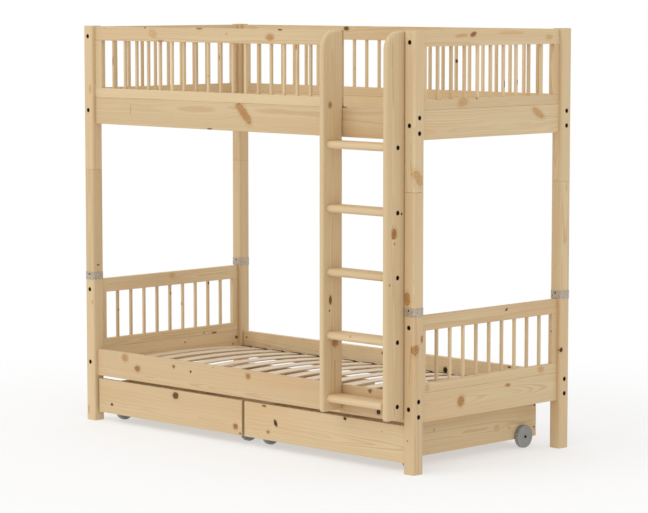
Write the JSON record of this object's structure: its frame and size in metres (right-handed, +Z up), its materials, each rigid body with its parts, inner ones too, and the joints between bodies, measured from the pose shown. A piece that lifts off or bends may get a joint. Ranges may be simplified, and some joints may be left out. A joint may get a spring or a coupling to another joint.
{
  "type": "bunk_bed",
  "caption": "Pine bunk bed: slatted bunks on square posts joined by metal sleeves, barred panels and guards, a ladder, and drawers on wheels below.",
  "frame": {"origin": "on the floor, at the middle of the bottom of the bounding box", "axes": "X along the bed's length with the ladder at +X, Y across it with the ladder's side and the drawer fronts at -Y, Z up"},
  "size_m": [2.1, 1.1, 1.84],
  "materials": {
    "pine": "clear satin lacquer on planed softwood",
    "birch": "smooth pale laminated veneer",
    "hardboard": "plain thin board",
    "collar_steel": "plain bent sheet",
    "black_steel": "black coated strip",
    "grey_plastic": "plain moulded grey"
  },
  "bodies": {
    "bed": {"lower_post_front_left": "pine", "middle_post_front_left": "pine", "upper_post_front_left": "pine", "joint_collar_front_left": "collar_steel", "lower_post_front_right": "pine", "middle_post_front_right": "pine", "upper_post_front_right": "pine", "joint_collar_front_right": "collar_steel", "lower_post_back_left": "pine", "middle_post_back_left": "pine", "upper_post_back_left": "pine", "joint_collar_back_left": "collar_steel", "lower_post_back_right": "pine", "middle_post_back_right": "pine", "upper_post_back_right": "pine", "joint_collar_back_right": "collar_steel", "lower_front_board": "pine", "lower_back_board": "pine", "lower_left_end_board": "pine", "lower_right_end_board": "pine", "lower_left_end_panel": "pine", "lower_right_end_panel": "pine", "lower_slat_base": "birch", "upper_front_board": "pine", "upper_back_board": "pine", "upper_left_end_board": "pine", "upper_right_end_board": "pine", "upper_left_end_panel": "pine", "upper_right_end_panel": "pine", "upper_slat_base": "birch", "upper_front_guard": "pine", "upper_back_guard": "pine", "ladder_stile_left": "pine", "ladder_hook_left": "black_steel", "ladder_stile_right": "pine", "ladder_hook_right": "black_steel", "ladder_tread_1": "pine", "ladder_tread_2": "pine", "ladder_tread_3": "pine", "ladder_tread_4": "pine", "ladder_tread_5": "pine"},
    "drawer_left": {"drawer_left_front": "pine", "drawer_left_back": "pine", "drawer_left_side_left": "pine", "drawer_left_side_right": "pine", "drawer_left_bottom": "hardboard"},
    "drawer_left_wheel_front_left": {"drawer_left_wheel_front_left": "grey_plastic"},
    "drawer_left_wheel_front_right": {"drawer_left_wheel_front_right": "grey_plastic"},
    "drawer_left_wheel_back_left": {"drawer_left_wheel_back_left": "grey_plastic"},
    "drawer_left_wheel_back_right": {"drawer_left_wheel_back_right": "grey_plastic"},
    "drawer_right": {"drawer_right_front": "pine", "drawer_right_back": "pine", "drawer_right_side_left": "pine", "drawer_right_side_right": "pine", "drawer_right_bottom": "hardboard"},
    "drawer_right_wheel_front_left": {"drawer_right_wheel_front_left": "grey_plastic"},
    "drawer_right_wheel_front_right": {"drawer_right_wheel_front_right": "grey_plastic"},
    "drawer_right_wheel_back_left": {"drawer_right_wheel_back_left": "grey_plastic"},
    "drawer_right_wheel_back_right": {"drawer_right_wheel_back_right": "grey_plastic"}
  },
  "joints": [
    {"name": "drawer_left_slide", "type": "slide", "parent": "bed", "child": "drawer_left", "axis": [0, -1, 0], "range_m": [0, 0.85]},
    {"name": "drawer_left_wheel_front_left_turn", "type": "hinge", "parent": "drawer_left", "child": "drawer_left_wheel_front_left", "pos_m": [-0.9168, -0.3267, 0.05], "axis": [1, 0, 0], "continuous": true},
    {"name": "drawer_left_wheel_front_right_turn", "type": "hinge", "parent": "drawer_left", "child": "drawer_left_wheel_front_right", "pos_m": [-0.0707, -0.3267, 0.05], "axis": [1, 0, 0], "continuous": true},
    {"name": "drawer_left_wheel_back_left_turn", "type": "hinge", "parent": "drawer_left", "child": "drawer_left_wheel_back_left", "pos_m": [-0.9168, 0.4, 0.05], "axis": [1, 0, 0], "continuous": true},
    {"name": "drawer_left_wheel_back_right_turn", "type": "hinge", "parent": "drawer_left", "child": "drawer_left_wheel_back_right", "pos_m": [-0.0707, 0.4, 0.05], "axis": [1, 0, 0], "continuous": true},
    {"name": "drawer_right_slide", "type": "slide", "parent": "bed", "child": "drawer_right", "axis": [0, -1, 0], "range_m": [0, 0.85]},
    {"name": "drawer_right_wheel_front_left_turn", "type": "hinge", "parent": "drawer_right", "child": "drawer_right_wheel_front_left", "pos_m": [0.0707, -0.3267, 0.05], "axis": [1, 0, 0], "continuous": true},
    {"name": "drawer_right_wheel_front_right_turn", "type": "hinge", "parent": "drawer_right", "child": "drawer_right_wheel_front_right", "pos_m": [0.9168, -0.3267, 0.05], "axis": [1, 0, 0], "continuous": true},
    {"name": "drawer_right_wheel_back_left_turn", "type": "hinge", "parent": "drawer_right", "child": "drawer_right_wheel_back_left", "pos_m": [0.0707, 0.4, 0.05], "axis": [1, 0, 0], "continuous": true},
    {"name": "drawer_right_wheel_back_right_turn", "type": "hinge", "parent": "drawer_right", "child": "drawer_right_wheel_back_right", "pos_m": [0.9168, 0.4, 0.05], "axis": [1, 0, 0], "continuous": true}
  ],
  "couplings": [
    {"joint": "drawer_left_wheel_front_left_turn", "follows": "drawer_left_slide", "rad_per_m": 20},
    {"joint": "drawer_left_wheel_front_right_turn", "follows": "drawer_left_slide", "rad_per_m": 20},
    {"joint": "drawer_left_wheel_back_left_turn", "follows": "drawer_left_slide", "rad_per_m": 20},
    {"joint": "drawer_left_wheel_back_right_turn", "follows": "drawer_left_slide", "rad_per_m": 20},
    {"joint": "drawer_right_wheel_front_left_turn", "follows": "drawer_right_slide", "rad_per_m": 20},
    {"joint": "drawer_right_wheel_front_right_turn", "follows": "drawer_right_slide", "rad_per_m": 20},
    {"joint": "drawer_right_wheel_back_left_turn", "follows": "drawer_right_slide", "rad_per_m": 20},
    {"joint": "drawer_right_wheel_back_right_turn", "follows": "drawer_right_slide", "rad_per_m": 20}
  ]
}
